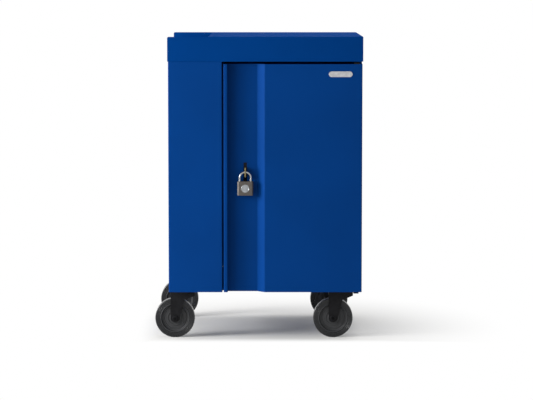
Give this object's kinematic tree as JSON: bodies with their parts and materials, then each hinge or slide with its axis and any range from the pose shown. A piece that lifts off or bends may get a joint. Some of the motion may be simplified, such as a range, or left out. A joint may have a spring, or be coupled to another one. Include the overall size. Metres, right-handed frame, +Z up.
{
  "type": "laptop charging cart",
  "caption": "Upright sheet-steel cabinet on swivel casters with a padlocked door, grip channel, push handle, laptop slots and a power bay.",
  "frame": {"origin": "on the floor under the middle of the whole cart's box, casters trailing left included", "axes": "+Z up, the front door faces -Y, +X to the right seen from the front"},
  "size_m": [0.663, 0.5714, 0.967],
  "materials": {
    "blue_paint": "fine satin powder coat on folded sheet steel",
    "dark_steel": "black e-coated pressed steel",
    "zinc_steel": "zinc-plated steel",
    "polished_steel": "polished plated steel",
    "brass": "dull brass",
    "black_plastic": "moulded black plastic",
    "grey_plastic": "moulded dark grey plastic",
    "tyre_rubber": "moulded grey-black rubber tread",
    "plate_silver": "bare satin plate with no marking"
  },
  "bodies": {
    "cabinet": {"base_pan": "blue_paint", "left_panel": "blue_paint", "right_panel": "blue_paint", "rear_panel": "blue_paint", "partition_wall": "blue_paint", "top_lid": "blue_paint", "push_handle": "black_plastic", "middle_shelf": "blue_paint", "lock_tongue": "zinc_steel", "lower_hinge_bracket": "dark_steel", "upper_hinge_bracket": "dark_steel", "magnetic_catch": "black_plastic", "outlet_strip": "grey_plastic", "power_inlet": "black_plastic", "adapter_shelf_lower": "blue_paint", "adapter_shelf_upper": "blue_paint", "rear_hinge": "dark_steel", "divider_lower_1": "blue_paint", "divider_lower_2": "blue_paint", "divider_lower_3": "blue_paint", "divider_lower_4": "blue_paint", "divider_lower_5": "blue_paint", "divider_lower_6": "blue_paint", "divider_upper_1": "blue_paint", "divider_upper_2": "blue_paint", "divider_upper_3": "blue_paint", "divider_upper_4": "blue_paint", "divider_upper_5": "blue_paint", "divider_upper_6": "blue_paint", "caster_front_left_plate": "dark_steel", "caster_front_right_plate": "dark_steel", "caster_rear_left_plate": "dark_steel", "caster_rear_right_plate": "dark_steel"},
    "front_door": {"front_door": "blue_paint", "name_plate": "plate_silver", "hasp_eye": "brass"},
    "padlock_shackle": {"padlock_shackle": "polished_steel"},
    "padlock_body": {"padlock_body": "zinc_steel", "padlock_disc": "polished_steel"},
    "padlock_key_plug": {"padlock_key_plug": "brass"},
    "rear_door": {"rear_door": "blue_paint"},
    "rear_lock": {"rear_lock": "zinc_steel"},
    "power_switch": {"power_switch": "black_plastic"},
    "fork_front_left": {"caster_front_left_fork": "dark_steel", "caster_front_left_axle": "zinc_steel"},
    "wheel_front_left": {"caster_front_left_tyre": "tyre_rubber", "caster_front_left_core": "grey_plastic"},
    "fork_front_right": {"caster_front_right_fork": "dark_steel", "caster_front_right_axle": "zinc_steel"},
    "wheel_front_right": {"caster_front_right_tyre": "tyre_rubber", "caster_front_right_core": "grey_plastic"},
    "fork_rear_left": {"caster_rear_left_fork": "dark_steel", "caster_rear_left_axle": "zinc_steel"},
    "wheel_rear_left": {"caster_rear_left_tyre": "tyre_rubber", "caster_rear_left_core": "grey_plastic"},
    "fork_rear_right": {"caster_rear_right_fork": "dark_steel", "caster_rear_right_axle": "zinc_steel"},
    "wheel_rear_right": {"caster_rear_right_tyre": "tyre_rubber", "caster_rear_right_core": "grey_plastic"}
  },
  "joints": [
    {"name": "front_door_swing", "type": "hinge", "parent": "cabinet", "child": "front_door", "pos_m": [0.3115, -0.275, 0.518], "axis": [0, 0, 1], "range_deg": [0, 180]},
    {"name": "padlock_swing", "type": "hinge", "parent": "front_door", "child": "padlock_shackle", "pos_m": [-0.0415, -0.271, 0.5373], "axis": [-1, 0, 0], "range_deg": [0, 75]},
    {"name": "padlock_release", "type": "slide", "parent": "padlock_shackle", "child": "padlock_body", "axis": [0, 0, -1], "range_m": [0, 0.012]},
    {"name": "padlock_key_turn", "type": "hinge", "parent": "padlock_body", "child": "padlock_key_plug", "pos_m": [-0.0415, -0.271, 0.47], "axis": [0, 0, 1], "range_deg": [0, 90]},
    {"name": "rear_door_swing", "type": "hinge", "parent": "cabinet", "child": "rear_door", "pos_m": [-0.2745, 0.28, 0.526], "axis": [0, 0, 1], "range_deg": [0, 110]},
    {"name": "rear_lock_turn", "type": "hinge", "parent": "rear_door", "child": "rear_lock", "pos_m": [-0.1315, 0.272, 0.52], "axis": [0, 1, 0], "range_deg": [0, 90]},
    {"name": "power_switch_rock", "type": "hinge", "parent": "cabinet", "child": "power_switch", "pos_m": [-0.0525, 0.2811, 0.269], "axis": [1, 0, 0], "range_deg": [0, 16]},
    {"name": "swivel_front_left", "type": "hinge", "parent": "cabinet", "child": "fork_front_left", "pos_m": [-0.232, -0.209, 0.148], "axis": [0, 0, 1], "continuous": true},
    {"name": "wheel_spin_front_left", "type": "hinge", "parent": "fork_front_left", "child": "wheel_front_left", "pos_m": [-0.268, -0.209, 0.0635], "axis": [0, 1, 0], "continuous": true},
    {"name": "swivel_front_right", "type": "hinge", "parent": "cabinet", "child": "fork_front_right", "pos_m": [0.276, -0.209, 0.148], "axis": [0, 0, 1], "continuous": true},
    {"name": "wheel_spin_front_right", "type": "hinge", "parent": "fork_front_right", "child": "wheel_front_right", "pos_m": [0.24, -0.209, 0.0635], "axis": [0, 1, 0], "continuous": true},
    {"name": "swivel_rear_left", "type": "hinge", "parent": "cabinet", "child": "fork_rear_left", "pos_m": [-0.232, 0.228, 0.148], "axis": [0, 0, 1], "continuous": true},
    {"name": "wheel_spin_rear_left", "type": "hinge", "parent": "fork_rear_left", "child": "wheel_rear_left", "pos_m": [-0.268, 0.228, 0.0635], "axis": [0, 1, 0], "continuous": true},
    {"name": "swivel_rear_right", "type": "hinge", "parent": "cabinet", "child": "fork_rear_right", "pos_m": [0.276, 0.228, 0.148], "axis": [0, 0, 1], "continuous": true},
    {"name": "wheel_spin_rear_right", "type": "hinge", "parent": "fork_rear_right", "child": "wheel_rear_right", "pos_m": [0.24, 0.228, 0.0635], "axis": [0, 1, 0], "continuous": true}
  ]
}
